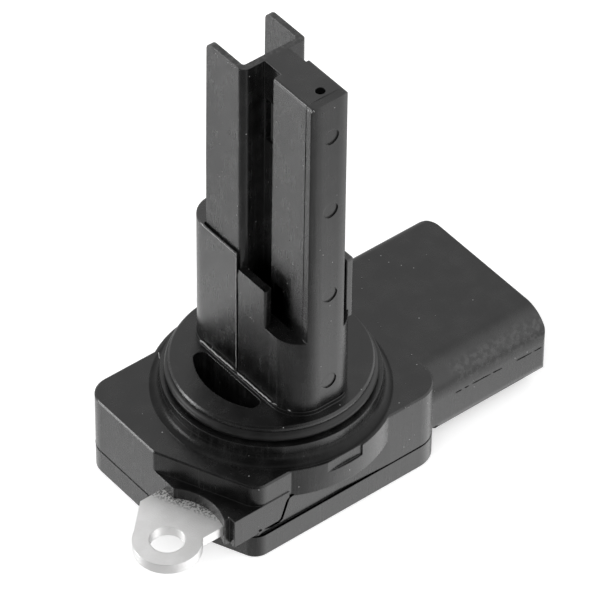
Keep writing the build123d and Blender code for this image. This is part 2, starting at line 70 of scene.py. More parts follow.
MM = 0.001
BODY = "root"

CIRCUIT_NODES = ("circuit_board", "chip_capacitors")
RESIN_NODES = ("control_chip", "sensing_carrier")

# Outline of the body, each corner with its radius, and the height of its parting line, in millimetres
BODY_CORNERS = [((-19.3, 13.9), 3.2), ((-19.3, -0.5), 0.8), ((-13.3, -13.9), 2.3), ((17.4, -13.9), 4.0),
                ((17.4, 13.9), 4.0)]
PARTING_HEIGHT = 3.76
PARTING_INSET = 0.06
CORNER_STEPS = 8

# Ejector marks on the front plate, which leans back with height, where a dark crescent paints the shade of
# each recess
EJECTOR_HEIGHTS = (21.8, 36.5, 50.5, 62.4)
EJECTOR_RADIUS = 1.12
EJECTOR_FROM = -118.0
EJECTOR_TURN = 140.0
EJECTOR_STEPS = 14
EJECTOR_INSET = 0.02
PLATE_FOOT_Y = -11.5
PLATE_FOOT_HEIGHT = 17.5
PLATE_LEAN = 0.3 / 50.6

# Dashes of the connector's split line, as the X and Z of both ends
SPLIT_LINE_Y = -12.37
SPLIT_DASHES = [
    ((20.3, 7.95), (21.4, 7.94)), ((21.9, 7.93), (22.6, 7.92)), ((23.2, 7.90), (26.3, 7.82)),
    ((26.6, 7.80), (28.2, 7.68)), ((30.6, 7.56), (33.2, 7.48)), ((33.6, 7.47), (34.9, 7.45)),
]

# Where the front plate meets the post, on the left and on top
PLATE_JOINTS = [
    ((-3.14, -10.0, 30.4), (-2.91, -10.0, 67.5)),
    ((-2.7, -10.0, 68.07), (2.5, -10.0, 68.07)),
]

# The seam beside the sleeve, and a short dash of painted shade ahead of the step line
BROAD_LINES = [
    ((-5.52, -0.06, 18.3), (-5.52, -0.04, 34.9)),
    ((-13.1, -14.0, 5.2), (-12.6, -14.0, 5.2)),
]

# Painted shade: a dark line for the shadow along the step in the body's side, beside the corner block
STEP_LINE = [
    (-12.2, -14.0, 5.0), (-11.2, -14.0, 4.86), (-9.9, -14.0, 4.86), (-9.4, -13.99, 5.1), (-9.1, -13.99, 5.9),
    (-8.65, -13.99, 7.2), (-8.4, -13.99, 7.9), (-8.1, -13.97, 8.2), (-7.6, -13.97, 8.3), (-6.9, -14.0, 8.2),
]

# Painted highlights as pale strands along moulded edges, and a real tick mark, as both ends and a radius
HIGHLIGHTS_AND_TICK = [
    # Painted highlight on the sleeve's edge along the seam
    ((-5.58, 0.16, 18.0), (-5.58, 0.16, 37.9), 0.045),
    # Painted highlight on the foot of the sleeve, then of the neck and its corner
    ((-5.80, 7.3, 18.12), (-5.80, 0.35, 18.12), 0.11),
    ((-5.80, -0.35, 18.12), (-5.72, -7.2, 18.12), 0.10),
    ((-5.70, -7.3, 18.1), (-4.75, -9.9, 18.1), 0.06),
    # Painted highlight on the top of the sleeve
    ((-5.57, 7.0, 37.98), (-5.57, 0.3, 37.98), 0.035),
    # Tick beside the flange's rim, clear of it
    ((-10.95, 9.2, 17.52), (-11.5, 8.3, 17.52), 0.05),
]

# Crumbs of plastic, as both ends of a row, their number and their size
CRUMB_ROWS = [
    # Foot of the front plate, at its left corner
    ((-2.7, -10.2, 29.65), (-1.9, -11.0, 29.65), 9, 0.08),
    # Left edge of the neck's top, under the guard
    ((-5.6, -0.3, 29.55), (-5.6, -3.9, 29.55), 10, 0.04),
    # Upper left corner of the front plate
    ((-3.1, -10.5, 67.9), (-2.6, -11.25, 67.8), 12, 0.07),
    # Right side of the neck
    ((5.05, -8.7, 24.5), (5.05, -8.8, 29.4), 14, 0.08),
    # Upper edge of the body's short side
    ((-19.2, 5.0, 12.45), (-19.2, 0.5, 12.45), 8, 0.04),
    # Left of the left fin's head, mostly clear of it
    ((-5.75, 5.5, 67.92), (-5.0, 0.0, 67.92), 14, 0.04),
    # Right of the post's head, clear of any surface
    ((4.9, -3.0, 67.92), (5.0, -3.6, 67.92), 4, 0.05),
    # Single crumbs, then a thin row of them, on top of the body and the shroud
    ((17.35, -7.07, 12.5), (17.35, -7.07, 12.5), 1, 0.10),
    ((24.25, 10.12, 12.5), (24.25, 10.12, 12.5), 1, 0.06),
    ((21.27, 8.11, 12.5), (21.27, 8.11, 12.5), 1, 0.06),
    ((17.75, 5.61, 12.5), (17.75, 5.61, 12.5), 1, 0.06),
    ((18.2, 2.0, 12.5), (16.0, -6.0, 12.5), 5, 0.04),
    # Upper edge of the body's long side
    ((10.5, -14.0, 12.45), (11.5, -14.0, 12.3), 6, 0.06),
]
CRUMB_SCATTER = 0.12

# Least and greatest size of a crumb, and reach of its corners, as shares of the size given
CRUMB_SIZES = (0.5, 1.2)
CRUMB_CORNERS = (0.6, 1.25)

# Starts of the random draws
LINE_SEED = 5
FLASH_SEED = 11

# A strand has this many sides and tapers to this share at its ends. None runs along the skew direction.
STRAND_SIDES = 6
STRAND_TIP = 0.3
SKEW = Vector((0.36, 0.48, 0.80))

# Zones of the finishes, as directions with the soft limits of each along it, in metres
# Painted shade: the post's face round the port, darkened for its shadow and dark reflection
PORT_PAINTED_SHADE = [
    ((0.0, 0.0, -1.0), -0.0375, -0.0330),
    ((0.0, 1.0, 0.0), -0.0112, -0.0072),
    ((1.0, 0.0, 0.0), -0.0036, -0.0033),
]
# Painted highlight: pale mottle on the tops of the fins
FIN_TOP_HIGHLIGHT = [
    ((0.0, 0.0, 1.0), 0.06795, 0.06805),
    ((0.0, 1.0, 0.0), -0.0006, 0.0),
]
# Paler mottle on the housing's front, beyond 19.5 mm along X and above 8.5 mm
FRONT_MOTTLE = [
    ((0.0, -1.0, 0.0), 0.0100, 0.0112),
    ((0.0, 0.0, 1.0), 0.0085, 0.0095),
    ((1.0, 0.0, 0.0), 0.0195, 0.0215),
]
# Painted reflection: dark blotches on the ear where it mirrors the dark body
EAR_PAINTED_REFLECTION = [
    ((0.915, 0.404, 0.0), -0.0209, -0.0196),
    ((-0.915, -0.404, 0.0), 0.0174, 0.0182),
]

# Skin of the mouldings: features to the metre, and how noise is drawn out into upright marks
SKIN_CLOUDS = 380
SKIN_MOTTLE = 1500
SKIN_DRAGS = 2600
SKIN_GRAIN = 8000
SKIN_SPECKS = 520
SPECK_SIZE = 0.05
UPRIGHT = (1.0, 1.0, 0.04)
SKIN_RELIEF = 0.05 * MM

# Where upright marks fade on faces that turn up, and where the painted highlight of an edge starts and is
# full
UPWARD = (0.3, 0.8)
EDGE_RISE = (0.01, 0.12)

# Share of light that each moulding's skin reflects, as a refractive index
PLAIN_SKIN = 1.6
# Painted shade: the fillet at the flange's root reflects less, so that it is darker
SHADED_FILLET_SKIN = 1.3
SLEEVE_SKIN = 1.75
DUCT_SKIN = 1.66

# Distances on the floor from the part's axis where its glow ends and its gleam fades, in metres
GLOW_END = (0.018, 0.050)
GLEAM_FADE = (0.045, 0.080)
GLOW_STRENGTH = 5.0
FLOOR_ROUGHNESS = 0.12

# How squarely a direction faces the dark side, or the left or right, where each starts and is full
DARK_LIMITS = (0.42, 0.93)
SIDE_LIMITS = (0.0, 0.6)


def colour(name, description, default):
    """A colour that a user may change."""
    return bpy.props.FloatVectorProperty(name=name, description=description, default=default,
                                         subtype="COLOR", size=4, min=0.0, max=1.0)


def grey(level, warmth=0.0):
    """A near neutral colour, a little warmer or cooler."""
    return (level * (1 + warmth), level, level * (1 - warmth), 1.0)


def length(name, description, millimetres):
    """A length that a user may change, given in millimetres and held in metres."""
    return bpy.props.FloatProperty(name=name, description=description, default=millimetres * MM,
                                   min=0.0, unit="LENGTH", precision=5)


def fine_size(name, description, default):
    """A fine size that a user may change, held in millimetres."""
    return bpy.props.FloatProperty(name=name, description=description, default=default, min=0.0, precision=4)


def share(name, description, default):
    """A number from nothing to one that a user may change."""
    return bpy.props.FloatProperty(name=name, description=description, default=default,
                                   min=0.0, max=1.0, subtype="FACTOR")


def level(name, description, default):
    """A strength of light that a user may change."""
    return bpy.props.FloatProperty(name=name, description=description, default=default, min=0.0)


def power(name, description, watts):
    """The power of a lamp, which a user may change."""
    return bpy.props.FloatProperty(name=name, description=description, default=watts, min=0.0, unit="POWER")


def angle(name, description, degrees):
    """An angle that a user may change, given in degrees and held in radians."""
    return bpy.props.FloatProperty(name=name, description=description, default=math.radians(degrees),
                                   subtype="ANGLE")


def place(name, description, default):
    """A point that a user may change, in metres."""
    return bpy.props.FloatVectorProperty(name=name, description=description, default=default,
                                         subtype="XYZ", unit="LENGTH")


def direction(name, description, default):
    """A direction that a user may change."""
    return bpy.props.FloatVectorProperty(name=name, description=description, default=default,
                                         subtype="DIRECTION")


class FinishSettings(bpy.types.PropertyGroup):
    """Colours and surface sizes of the sensor's materials."""

    plastic: colour("Plastic", "Colour of the black mouldings", grey(0.003))
    plastic_pale: colour("Paler plastic", "Colour where the moulding's skin is duller", grey(0.010))
    # Painted highlight: the paler colour of the rounded edges, which also tints the grain of the torn
    # plastic
    plastic_edge_highlight: colour("Plastic edge", "Colour of rubbed edges of the mouldings", grey(0.022))
    plastic_streak: colour("Plastic streaks", "Colour of upright drag marks on the mouldings", grey(0.035))
    plastic_gloss: share("Plastic roughness", "Roughness of the mouldings at their smoothest", 0.17)
    plastic_edge_round: length("Edge rounding", "Radius that edges of the mouldings catch light with", 0.14)
    rubber: colour("Rubber", "Colour of the seal ring", grey(0.005))
    # Also the colour of the painted edge highlights and of the pale dust specks
    torn_and_highlight: colour("Torn plastic", "Colour of flash, crumbs and sharp moulded edges", grey(0.62))
    metal: colour("Plate", "Colour of the plated steel", grey(0.84, 0.006))
    tin: colour("Tin", "Colour of the plated terminals and leads", grey(0.72, 0.02))
    ceramic: colour("Ceramic", "Colour of the circuit board and the sensing blade", grey(0.66, 0.04))
    film: colour("Film chip", "Colour of the hot film chip", (0.05, 0.07, 0.11, 1.0))
    package: colour("Package", "Colour of the control chip", grey(0.03))
    glass: colour("Bead glass", "Colour of the air temperature sensor's glass", (0.50, 0.62, 0.42, 1.0))
    sealant: colour("Sealant", "Colour of the sealant under the body", grey(0.08))


class StageSettings(bpy.types.PropertyGroup):
    """Floor, lamps and camera."""

    floor: colour("Floor", "Colour of the floor", grey(0.80))
    floor_size: length("Floor size", "Side of the floor", 8000)
    floor_glow: share("Floor glow", "What the camera and reflections see on top of the lit floor", 0.5)
    floor_gleam: share("Floor gleam", "How far the floor mirrors the world in the part's reflections", 0.85)
    near_glow: share("Near glow", "How far reflections see a glow on the floor close to the part", 0.075)
    far_loss: share("Far loss", "How far the floor darkens farther from the part, in reflections", 0.35)
    world_light: share("World light", "Strength of the world as a light", 0.55)
    left_level: level("Left level", "World at the left, in reflections", 0.8)
    right_level: level("Right level", "World at the right, in reflections", 1.5)
    back_level: level("Back level", "World at the back, in reflections", 0.75)
    dark_level: share("Dark level", "World behind the camera, in reflections", 0.05)
    right_side: direction("Right side", "Towards the right of the camera", (0.630, -0.776, 0.0))
    dark_side: direction("Dark side", "Towards the middle of the dark side", (-0.606, -0.364, 0.707))
    key_power: power("Key power", "Power of the large lamp at the left", 2.1)
    key_place: place("Key place", "Place of the large lamp at the left", (-0.42, -0.30, 0.50))
    fill_power: power("Fill power", "Power of the large lamp at the right", 0.9)
    fill_place: place("Fill place", "Place of the large lamp at the right", (0.32, -0.39, 0.50))
    lamp_size: length("Lamp size", "Side of the square lamps at the left and right", 480)
    rim_power: power("Rim power", "Power of the small lamp behind the part", 1.0)
    rim_place: place("Rim place", "Place of the small lamp behind the part", (-0.43, 0.36, 0.24))
    rim_size: length("Rim lamp size", "Side of the small lamp behind the part", 180)
    azimuth: angle("Camera azimuth", "Turn of the camera round the part", -39.043)
    elevation: angle("Camera elevation", "How steeply the camera looks down", 43.509)
    roll: angle("Camera roll", "Turn of the picture", 0.594)
    distance: length("Camera distance", "From the lens to the point that it looks at", 716.75)
    aim: place("Aim", "Point at the middle of the picture", (0.01128, 0.00831, 0.01428))
    lens: bpy.props.FloatProperty(name="Lens", description="Focal length in millimetres", default=334.15)


class Value:
    """One shader value. Sums and products of values add the Math nodes that work them out."""

    def __init__(self, finish, socket):
        self.finish = finish
        self.socket = socket

    def maths(self, operation, first, second):
        """The result of one Math node."""
        return self.finish.node("ShaderNodeMath", {"operation": operation}, {0: first, 1: second})[0]

    def __add__(self, other):
        return self.maths("ADD", self, other)

    def __sub__(self, other):
        return self.maths("SUBTRACT", self, other)

    def __rsub__(self, other):
        return self.maths("SUBTRACT", other, self)

    def __mul__(self, other):
        return self.maths("MULTIPLY", self, other)

    def over(self, other):
        """The larger of this value and another."""
        return self.maths("MAXIMUM", self, other)

    __radd__ = __add__
    __rmul__ = __mul__

    def step(self, low, high):
        """Nought below low, one above high and a smooth rise between."""
        made = self.finish.node("ShaderNodeMapRange", {"interpolation_type": "SMOOTHSTEP"},
                                {"Value": self, "From Min": low, "From Max": high})
        return made[0]


class Finish:
    """A material, or the world, and the nodes that it is made of."""

    def __init__(self, owner):
        self.owner = owner
        owner.use_nodes = True
        self.tree = owner.node_tree
        self.tree.nodes.clear()

    def node(self, kind, settings=None, sockets=None):
        """Adds a node: its settings first, then the values or links of its sockets. Returns its outputs."""
        made = self.tree.nodes.new(kind)
        for key, setting in (settings or {}).items():
            setattr(made, key, setting)
        for key, given in (sockets or {}).items():
            if isinstance(given, Value):
                self.tree.links.new(given.socket, made.inputs[key])
            else:
                made.inputs[key].default_value = given
        return [Value(self, output) for output in made.outputs]

    def place(self):
        """Where the surface is in the part, in metres."""
        return self.node("ShaderNodeTexCoord")[3]

    def noise(self, scale, detail, stretch=(1.0, 1.0, 1.0)):
        """Cloudy value from nought to one, with scale clouds to the metre."""
        spot = self.node("ShaderNodeVectorMath", {"operation": "MULTIPLY"}, {0: self.place(), 1: stretch})[0]
        return self.node("ShaderNodeTexNoise", {}, {"Vector": spot, "Scale": scale, "Detail": detail})[0]

    def specks(self, scale, size):
        """One in small round dots, nought elsewhere, with scale dots to the metre."""
        far = self.node("ShaderNodeTexVoronoi", {}, {"Vector": self.place(), "Scale": scale})[0]
        return 1 - far.step(0.6 * size, size)

    def along(self, vector, direction):
        """How far a vector reaches along a direction."""
        return self.node("ShaderNodeVectorMath", {"operation": "DOT_PRODUCT"}, {0: vector, 1: direction})[1]

    def mix(self, amount, first, second):
        """A colour between two."""
        made = self.node("ShaderNodeMix", {"data_type": "RGBA"}, {0: amount, 6: first, 7: second})
        return made[2]

    def soft_edge(self, radius):
        """Normal of the surface with rounded edges."""
        return self.node("ShaderNodeBevel", {"samples": 6}, {"Radius": radius})[0]

    def zone(self, limits):
        """One inside soft limits along some directions, nought outside any of them."""
        inside = 1.0
        for direction, low, high in limits:
            inside = self.along(self.place(), direction).step(low, high) * inside
        return inside

    def edge_mask(self, softened):
        """Nought on flat faces, and up to one along the edges that were rounded."""
        normal = self.node("ShaderNodeNewGeometry")[1]
        return (1 - self.along(softened, normal)).step(*EDGE_RISE)

    def bump(self, height, distance, strength, normal=None):
        """Normal of a surface that a height value roughens."""
        sockets = {"Height": height, "Distance": distance, "Strength": strength}
        if normal is not None:
            sockets["Normal"] = normal
        return self.node("ShaderNodeBump", {}, sockets)[0]

    def surface(self, sockets):
        """Ends the material in a shader with the given sockets."""
        shader = self.node("ShaderNodeBsdfPrincipled", {}, sockets)[0]
        self.node("ShaderNodeOutputMaterial", {}, {"Surface": shader})
        return self.owner


def new_finish(name):
    """The finish of a new material."""
    return Finish(bpy.data.materials.new(name))


def black_plastic(looks, name="black_plastic", refraction=PLAIN_SKIN, painted_shade=None, pale_mottle=None):
    """Moulded black plastic, with clouds, upright drag marks, a fine grain, specks and paler edges that are
    a painted highlight.

    A painted shade zone is dark and reflects next to nothing. A pale mottle zone is mottled paler; on the
    fin tops this is a painted highlight.
    """
    finish = new_finish(name)
    clouds = finish.noise(SKIN_CLOUDS, 4)
    mottle = finish.noise(SKIN_MOTTLE, 4)
    drags = finish.noise(SKIN_DRAGS, 3, UPRIGHT)
    grain = finish.noise(SKIN_GRAIN, 2)
    rounded = finish.soft_edge(looks.plastic_edge_round)
    edge_highlight = finish.edge_mask(rounded)
    upright = 1 - finish.along(finish.node("ShaderNodeNewGeometry")[1], (0.0, 0.0, 1.0)).step(*UPWARD)
    skin = finish.mix(clouds.step(0.35, 0.75), looks.plastic, looks.plastic_pale)
    streaks = (drags.step(0.45, 0.75) + mottle.step(0.45, 0.8) * 0.5) * upright
    skin = finish.mix(streaks * 0.2, skin, looks.plastic_streak)
    # Pale mottle, which on the fin tops is a painted highlight
    if pale_mottle:
        skin = finish.mix(finish.zone(pale_mottle) * mottle.step(0.42, 0.62) * 0.9, skin, looks.plastic_streak)
    # Painted highlight: rounded edges are mixed towards a paler colour
    skin = finish.mix(edge_highlight * 0.35, skin, looks.plastic_edge_highlight)
    skin = finish.mix(finish.specks(SKIN_SPECKS, SPECK_SIZE) * 0.5, skin, looks.torn_and_highlight)
    sockets = {
        "Base Color": skin,
        "Roughness": clouds * 0.10 + drags * 0.08 + looks.plastic_gloss,
        "Normal": finish.bump(grain * 0.5 + drags * 0.35 + clouds * 0.5, SKIN_RELIEF, 0.6, rounded),
        "IOR": refraction,
    }
    # Painted shade: the port's zone goes black and metallic, so that it reflects next to nothing
    if painted_shade:
        dark = finish.zone(painted_shade) * 0.93
        sockets["Base Color"] = finish.mix(dark, skin, grey(0.0))
        sockets["Metallic"] = dark
    return finish.surface(sockets)


def seal_rubber(looks):
    """Black rubber with a satin skin and fine dust."""
    finish = new_finish("seal_rubber")
    clouds = finish.noise(700, 3)
    grain = finish.noise(6000, 2)
    return finish.surface({
        "Base Color": finish.mix(clouds.step(0.4, 0.8), looks.rubber, looks.plastic_pale),
        "Roughness": clouds * 0.15 + 0.36,
        "Normal": finish.bump(grain + clouds, 0.02 * MM, 0.5),
    })


def plate_metal(looks):
    """Bright plated steel with a fine matt grain, and dark blotches near the body that are a painted
    reflection of it.
    """
    finish = new_finish("plate_metal")
    clouds = finish.noise(500, 4)
    grain = finish.noise(6500, 3)
    rounded = finish.soft_edge(0.2 * MM)
    # Painted reflection of the dark body, as dark blotches in the ear's colour
    reflection_blotches = finish.zone(EAR_PAINTED_REFLECTION) * finish.noise(3300, 3).step(0.47, 0.56)
    bright = finish.mix(clouds.step(0.3, 0.8), looks.metal, grey(0.92, 0.003))
    return finish.surface({
        "Base Color": finish.mix(reflection_blotches * 0.85, bright, grey(0.16)),
        "Metallic": 0.7,
        "Roughness": clouds * 0.12 + grain * 0.12 + 0.22,
        "Normal": finish.bump(grain, 0.035 * MM, 0.7, rounded),
    })


def tin_plate(looks):
    """Dull tin plating with drawing lines."""
    finish = new_finish("tin_plate")
    lines = finish.noise(9000, 2, (0.1, 1.0, 0.1))
    rounded = finish.soft_edge(0.06 * MM)
    return finish.surface({
        "Base Color": finish.mix(lines, looks.tin, grey(0.55, 0.02)),
        "Metallic": 1.0,
        "Roughness": lines * 0.15 + 0.24,
        "Normal": finish.bump(lines, 0.01 * MM, 0.5, rounded),
    })


def fired_ceramic(looks):
    """Fired ceramic with a faint speckle."""
    finish = new_finish("fired_ceramic")
    clouds = finish.noise(2600, 4)
    return finish.surface({
        "Base Color": finish.mix(clouds.step(0.35, 0.8), looks.ceramic, grey(0.52, 0.05)),
        "Roughness": clouds * 0.2 + 0.3,
        "Normal": finish.bump(clouds, 0.01 * MM, 0.5),
    })


def chip_resin(looks):
    """Matt moulding resin of a chip package."""
    finish = new_finish("chip_resin")
    grain = finish.noise(7000, 3)
    return finish.surface({
        "Base Color": finish.mix(grain, looks.package, grey(0.05)),
        "Roughness": grain * 0.2 + 0.5,
        "Normal": finish.bump(grain, 0.02 * MM, 0.6),
    })


def film_silicon(looks):
    """Polished film chip with the lines of its heater."""
    finish = new_finish("film_silicon")
    ripple = finish.noise(3000, 2, (1.0, 1.0, 0.1)).step(0.45, 0.55)
    return finish.surface({
        "Base Color": finish.mix(ripple, looks.film, grey(0.22, 0.05)),
        "Roughness": ripple * 0.15 + 0.12,
        "Coat Weight": 0.4,
    })


def bead_glass(looks):
    """Clear glass, slightly green, with a drawn surface."""
    finish = new_finish("bead_glass")
    clouds = finish.noise(1500, 2)
    return finish.surface({
        "Base Color": finish.mix(clouds, looks.glass, grey(0.75)),
        "Roughness": clouds * 0.08 + 0.04,
        "Transmission Weight": 0.55,
        "IOR": 1.52,
    })


def torn_and_highlight_plastic(looks):
    """Paler plastic of flash, crumbs and the painted highlights along moulded edges."""
    finish = new_finish("torn_and_highlight_plastic")
    grain = finish.noise(5000, 2)
    return finish.surface({
        "Base Color": finish.mix(grain, looks.torn_and_highlight, looks.plastic_edge_highlight),
        "Roughness": grain * 0.2 + 0.3,
    })


def line_shadow():
    """Unlit black that stands for the depth of a fine gap."""
    finish = new_finish("line_shadow")
    return finish.surface({"Base Color": grey(0.0), "Roughness": 1.0, "Specular IOR Level": 0.0})


def cured_sealant(looks):
    """Dark silicone bead."""
    finish = new_finish("cured_sealant")
    clouds = finish.noise(1800, 3)
    return finish.surface({
        "Base Color": finish.mix(clouds, looks.sealant, grey(0.12)),
        "Roughness": clouds * 0.2 + 0.35,
        "Normal": finish.bump(clouds, 0.05 * MM, 0.6),
    })


def dress(names, material):
    """Gives CAD nodes a better material in their own slots."""
    for name in names:
        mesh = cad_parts[name].data
        mesh.materials.clear()
        mesh.materials.append(material)


def numbered(stem):
    """The CAD nodes of one kind, such as every terminal."""
    found = sorted(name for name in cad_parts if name.startswith(stem))
    if not found:
        raise RuntimeError(f"the frame has no node that starts with {stem}")
    return found


def new_piece(name, form, material):
    """Turns a finished mesh into a piece that rides on the part."""
    mesh = bpy.data.meshes.new(name)
    form.to_mesh(mesh)
    form.free()
    mesh.materials.append(material)
    for face in mesh.polygons:
        face.use_smooth = True
    piece = bpy.data.objects.new(name, mesh)
    bpy.context.scene.collection.objects.link(piece)
    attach(piece, BODY)
    return piece


def turned(profile, steps):
    """Closed ring: a closed outline of radius and height, turned about the upright axis."""
    form = bmesh.new()
    rings = []
    for i in range(steps):
        angle = 2 * math.pi * i / steps
        rings.append([form.verts.new((r * math.cos(angle), r * math.sin(angle), z)) for r, z in profile])
    for i in range(steps):
        here, there = rings[i], rings[(i + 1) % steps]
        for j in range(len(profile)):
            k = (j + 1) % len(profile)
            form.faces.new((here[j], there[j], there[k], here[k]))
    bmesh.ops.recalc_face_normals(form, faces=form.faces)
    return form


def strand(form, points, radius):
    """Fine thread along points in millimetres, thinner at both ends."""
    spots = [Vector(point) * MM for point in points]
    rings = []
    for i, spot in enumerate(spots):
        ahead = (spots[min(i + 1, len(spots) - 1)] - spots[max(i - 1, 0)]).normalized()
        side = ahead.cross(SKEW).normalized()
        other = ahead.cross(side)
        thin = STRAND_TIP if i in (0, len(spots) - 1) else 1.0
        turns = [k * 2 * math.pi / STRAND_SIDES for k in range(STRAND_SIDES)]
        corners = [side * math.cos(turn) + other * math.sin(turn) for turn in turns]
        rings.append([form.verts.new(spot + corner * radius * thin * MM) for corner in corners])
    for here, there in zip(rings, rings[1:]):
        for k in range(STRAND_SIDES):
            after = (k + 1) % STRAND_SIDES
            form.faces.new((here[k], here[after], there[after], there[k]))
    form.faces.new(rings[0][::-1])
    form.faces.new(rings[-1])


def rounded_loop(corners, inset):
    """Points of a closed outline whose corners have their own radii, drawn in by a little."""
    points = []
    for i, (corner, radius) in enumerate(corners):
        corner = Vector(corner)
        before = (Vector(corners[i - 1][0]) - corner).normalized()
        after = (Vector(corners[(i + 1) % len(corners)][0]) - corner).normalized()
        half = before.angle(after) / 2
        middle = (before + after).normalized()
        centre = corner + middle * radius / math.sin(half)
        turn = math.pi - 2 * half
        start = (corner + before * radius / math.tan(half)) - centre
        way = 1 if before.x * after.y - before.y * after.x < 0 else -1
        for k in range(CORNER_STEPS + 1):
            spoke = start.copy()
            spoke.rotate(Matrix.Rotation(way * turn * k / CORNER_STEPS, 2))
            points.append(centre + spoke * (radius - inset) / radius)
    return points


def along_line(first, last, steps, rng=None, wander=0.0):
    """Points on a straight line, which may wander a little from it."""
    first, last = Vector(first), Vector(last)
    points = []
    for i in range(steps + 1):
        off = Vector([rng.uniform(-wander, wander) for _ in range(3)]) if rng else Vector()
        points.append(first.lerp(last, i / steps) + off)
    return points


def crumb(form, spot, size, rng):
    """One small irregular lump, its place and size in millimetres."""
    made = bmesh.ops.create_icosphere(form, subdivisions=1, radius=size * MM)
    for vert in made["verts"]:
        vert.co = vert.co * rng.uniform(*CRUMB_CORNERS) + Vector(spot) * MM


class SENSOR_OT_mouldings(bpy.types.Operator):
    """Finish the black mouldings"""

    bl_idname = "sensor.mouldings"
    bl_label = "Mouldings"

    def execute(self, context):
        looks = context.scene.sensor_finish
        dress(["sensor_housing"], black_plastic(looks, pale_mottle=FRONT_MOTTLE))
        dress(["back_cover", "probe_neck"], black_plastic(looks, "moulded_plastic"))
        dress(["duct_sleeve"], black_plastic(looks, "sleeve_plastic", SLEEVE_SKIN))
        dress(["bypass_duct"], black_plastic(looks, "duct_plastic", DUCT_SKIN, PORT_PAINTED_SHADE, FIN_TOP_HIGHLIGHT))
        return {"FINISHED"}


class SENSOR_OT_flange_root(bpy.types.Operator):
    """Lay a smooth skin over the flats of the fillet at the flange's root"""

    bl_idname = "sensor.flange_root"
    bl_label = "Flange root"

    radius: length("Fillet radius", "Radius of the skin, a little less than that of the flats", 1.37)
    centre_radius: length("Centre radius", "From the flange's axis to the centre of the fillet", 15.6)
    centre_height: length("Centre height", "Height of the centre of the fillet", 13.9)
    back: length("Back", "How far the skin's back lies inside the housing", 0.3)

    def execute(self, context):
        steps = 14
        profile = []
        for j in range(steps + 1):
            angle = math.pi + math.pi / 2 * j / steps
            profile.append((self.centre_radius + self.radius * math.cos(angle),
                            self.centre_height + self.radius * math.sin(angle)))
        inner = self.centre_radius - self.radius - self.back
        low = self.centre_height - self.radius - self.back
        profile += [(self.centre_radius, low), (inner, low), (inner, self.centre_height)]
        # Painted shade: a less reflecting copy of the plastic darkens the concave fillet
        material = black_plastic(context.scene.sensor_finish, "shaded_fillet_plastic", SHADED_FILLET_SKIN)
        new_piece("flange_root", turned(profile, 160), material)
        return {"FINISHED"}


class SENSOR_OT_mould_lines(bpy.types.Operator):
    """Draw the fine dark joints and parting lines, broken where the photograph's are, and the painted shade
    of the ejector marks and of the step
    """

    bl_idname = "sensor.mould_lines"
    bl_label = "Mould lines"

    fine: fine_size("Fine line", "Radius of the split line and the plate's joints", 0.045)
    # Painted shade: radius of the dark crescents in the ejector marks
    rim: fine_size("Ejector rim", "Radius of the crescents of the ejector marks", 0.045 * 1.15)
    parting: fine_size("Parting line", "Radius of the line round the cover", 0.045 * 2.2)
    broad: fine_size("Broad line", "Radius of the seam and of the step line", 0.14)
    wander: fine_size("Wander", "How far the fine lines stray from straight", 0.015)

    def execute(self, context):
        rng = random.Random(LINE_SEED)
        form = bmesh.new()
        dashes = [((x0, SPLIT_LINE_Y, z0), (x1, SPLIT_LINE_Y, z1)) for (x0, z0), (x1, z1) in SPLIT_DASHES]
        for first, last in dashes + PLATE_JOINTS:
            strand(form, along_line(first, last, 6, rng, self.wander), self.fine)
        for first, last in BROAD_LINES:
            strand(form, along_line(first, last, 6), self.broad)
        # Painted shade: a dark crescent in each ejector mark
        for height in EJECTOR_HEIGHTS:
            self.ejector_rim(form, height)
        # Painted shade along the step in the body's side
        strand(form, STEP_LINE, self.broad)
        parting = rounded_loop(BODY_CORNERS, PARTING_INSET)
        strand(form, [(x, y, PARTING_HEIGHT) for x, y in parting + parting[:1]], self.parting)
        new_piece("mould_lines", form, line_shadow())
        return {"FINISHED"}

    def ejector_rim(self, form, height):
        """Painted shade: a dark crescent at the lower right of one ejector mark, where its recess is shaded.
        """
        front = PLATE_FOOT_Y + PLATE_LEAN * (height - PLATE_FOOT_HEIGHT) + EJECTOR_INSET
        points = []
        for k in range(EJECTOR_STEPS + 1):
            turn = math.radians(EJECTOR_FROM + EJECTOR_TURN * k / EJECTOR_STEPS)
            points.append((EJECTOR_RADIUS * math.cos(turn), front, height + EJECTOR_RADIUS * math.sin(turn)))
        strand(form, points, self.rim)


class SENSOR_OT_flash_and_highlights(bpy.types.Operator):
    """Model the painted edge highlights as pale strands, with flash and crumbs"""

    bl_idname = "sensor.flash"
    bl_label = "Flash and crumbs"

    raggedness: share("Raggedness", "How far an edge strays, as a share of its radius", 0.45)

    def execute(self, context):
        rng = random.Random(FLASH_SEED)
        form = bmesh.new()
        # Painted highlights: pale strands along the moulded edges
        for first, last, radius in HIGHLIGHTS_AND_TICK:
            strand(form, along_line(first, last, 30, rng, radius * self.raggedness), radius)
        for first, last, count, size in CRUMB_ROWS:
            for _ in range(count):
                spot = Vector(first).lerp(Vector(last), rng.random())
                spot += Vector([rng.uniform(-CRUMB_SCATTER, CRUMB_SCATTER) for _ in range(3)])
                crumb(form, spot, size * rng.uniform(*CRUMB_SIZES), rng)
        new_piece("flash", form, torn_and_highlight_plastic(context.scene.sensor_finish))
        return {"FINISHED"}


